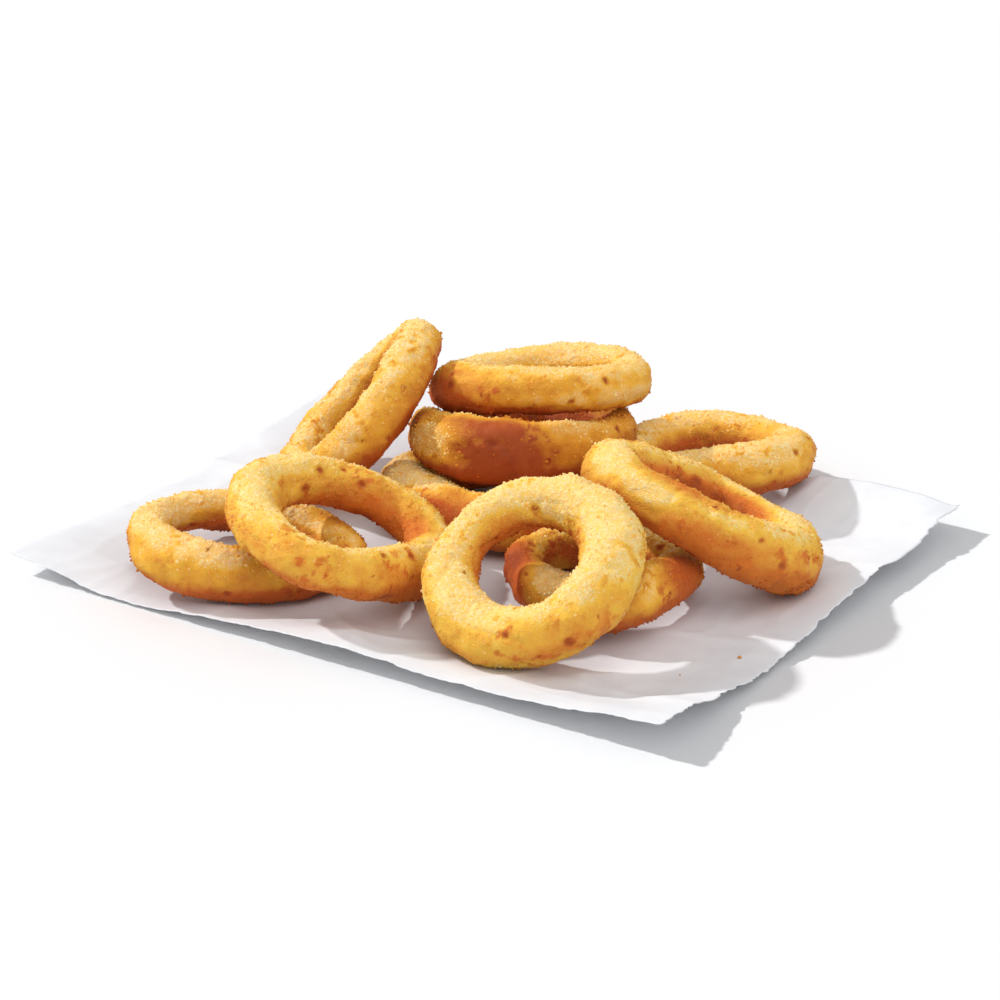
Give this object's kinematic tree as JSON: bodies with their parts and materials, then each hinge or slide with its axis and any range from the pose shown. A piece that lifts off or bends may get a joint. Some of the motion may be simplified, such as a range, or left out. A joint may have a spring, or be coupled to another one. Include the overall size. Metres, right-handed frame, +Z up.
{
  "type": "onion rings side",
  "caption": "Side of battered fried onion rings piled loosely on a lifted-edge sheet of white greaseproof paper, with rings lying flat, leaning and overlapping.",
  "frame": {"origin": "under the middle of the whole serving, on the surface that the sheet lies on", "axes": "+Z up; +X along the sheet's long side, to the right; +Y along its short side, to the back"},
  "size_m": [0.254, 0.227, 0.0616],
  "materials": {
    "fried_crust": "golden fried batter with a fine crumb, dry and slightly glinting",
    "greaseproof_paper": "matt white greaseproof paper"
  },
  "bodies": {
    "root": {"paper_sheet": "greaseproof_paper", "ring_left": "fried_crust", "ring_under_pile": "fried_crust", "ring_back_right": "fried_crust", "ring_under_front": "fried_crust", "ring_over_left": "fried_crust", "ring_middle": "fried_crust", "ring_top": "fried_crust", "ring_on_edge": "fried_crust", "ring_right": "fried_crust", "ring_front": "fried_crust"}
  },
  "joints": []
}
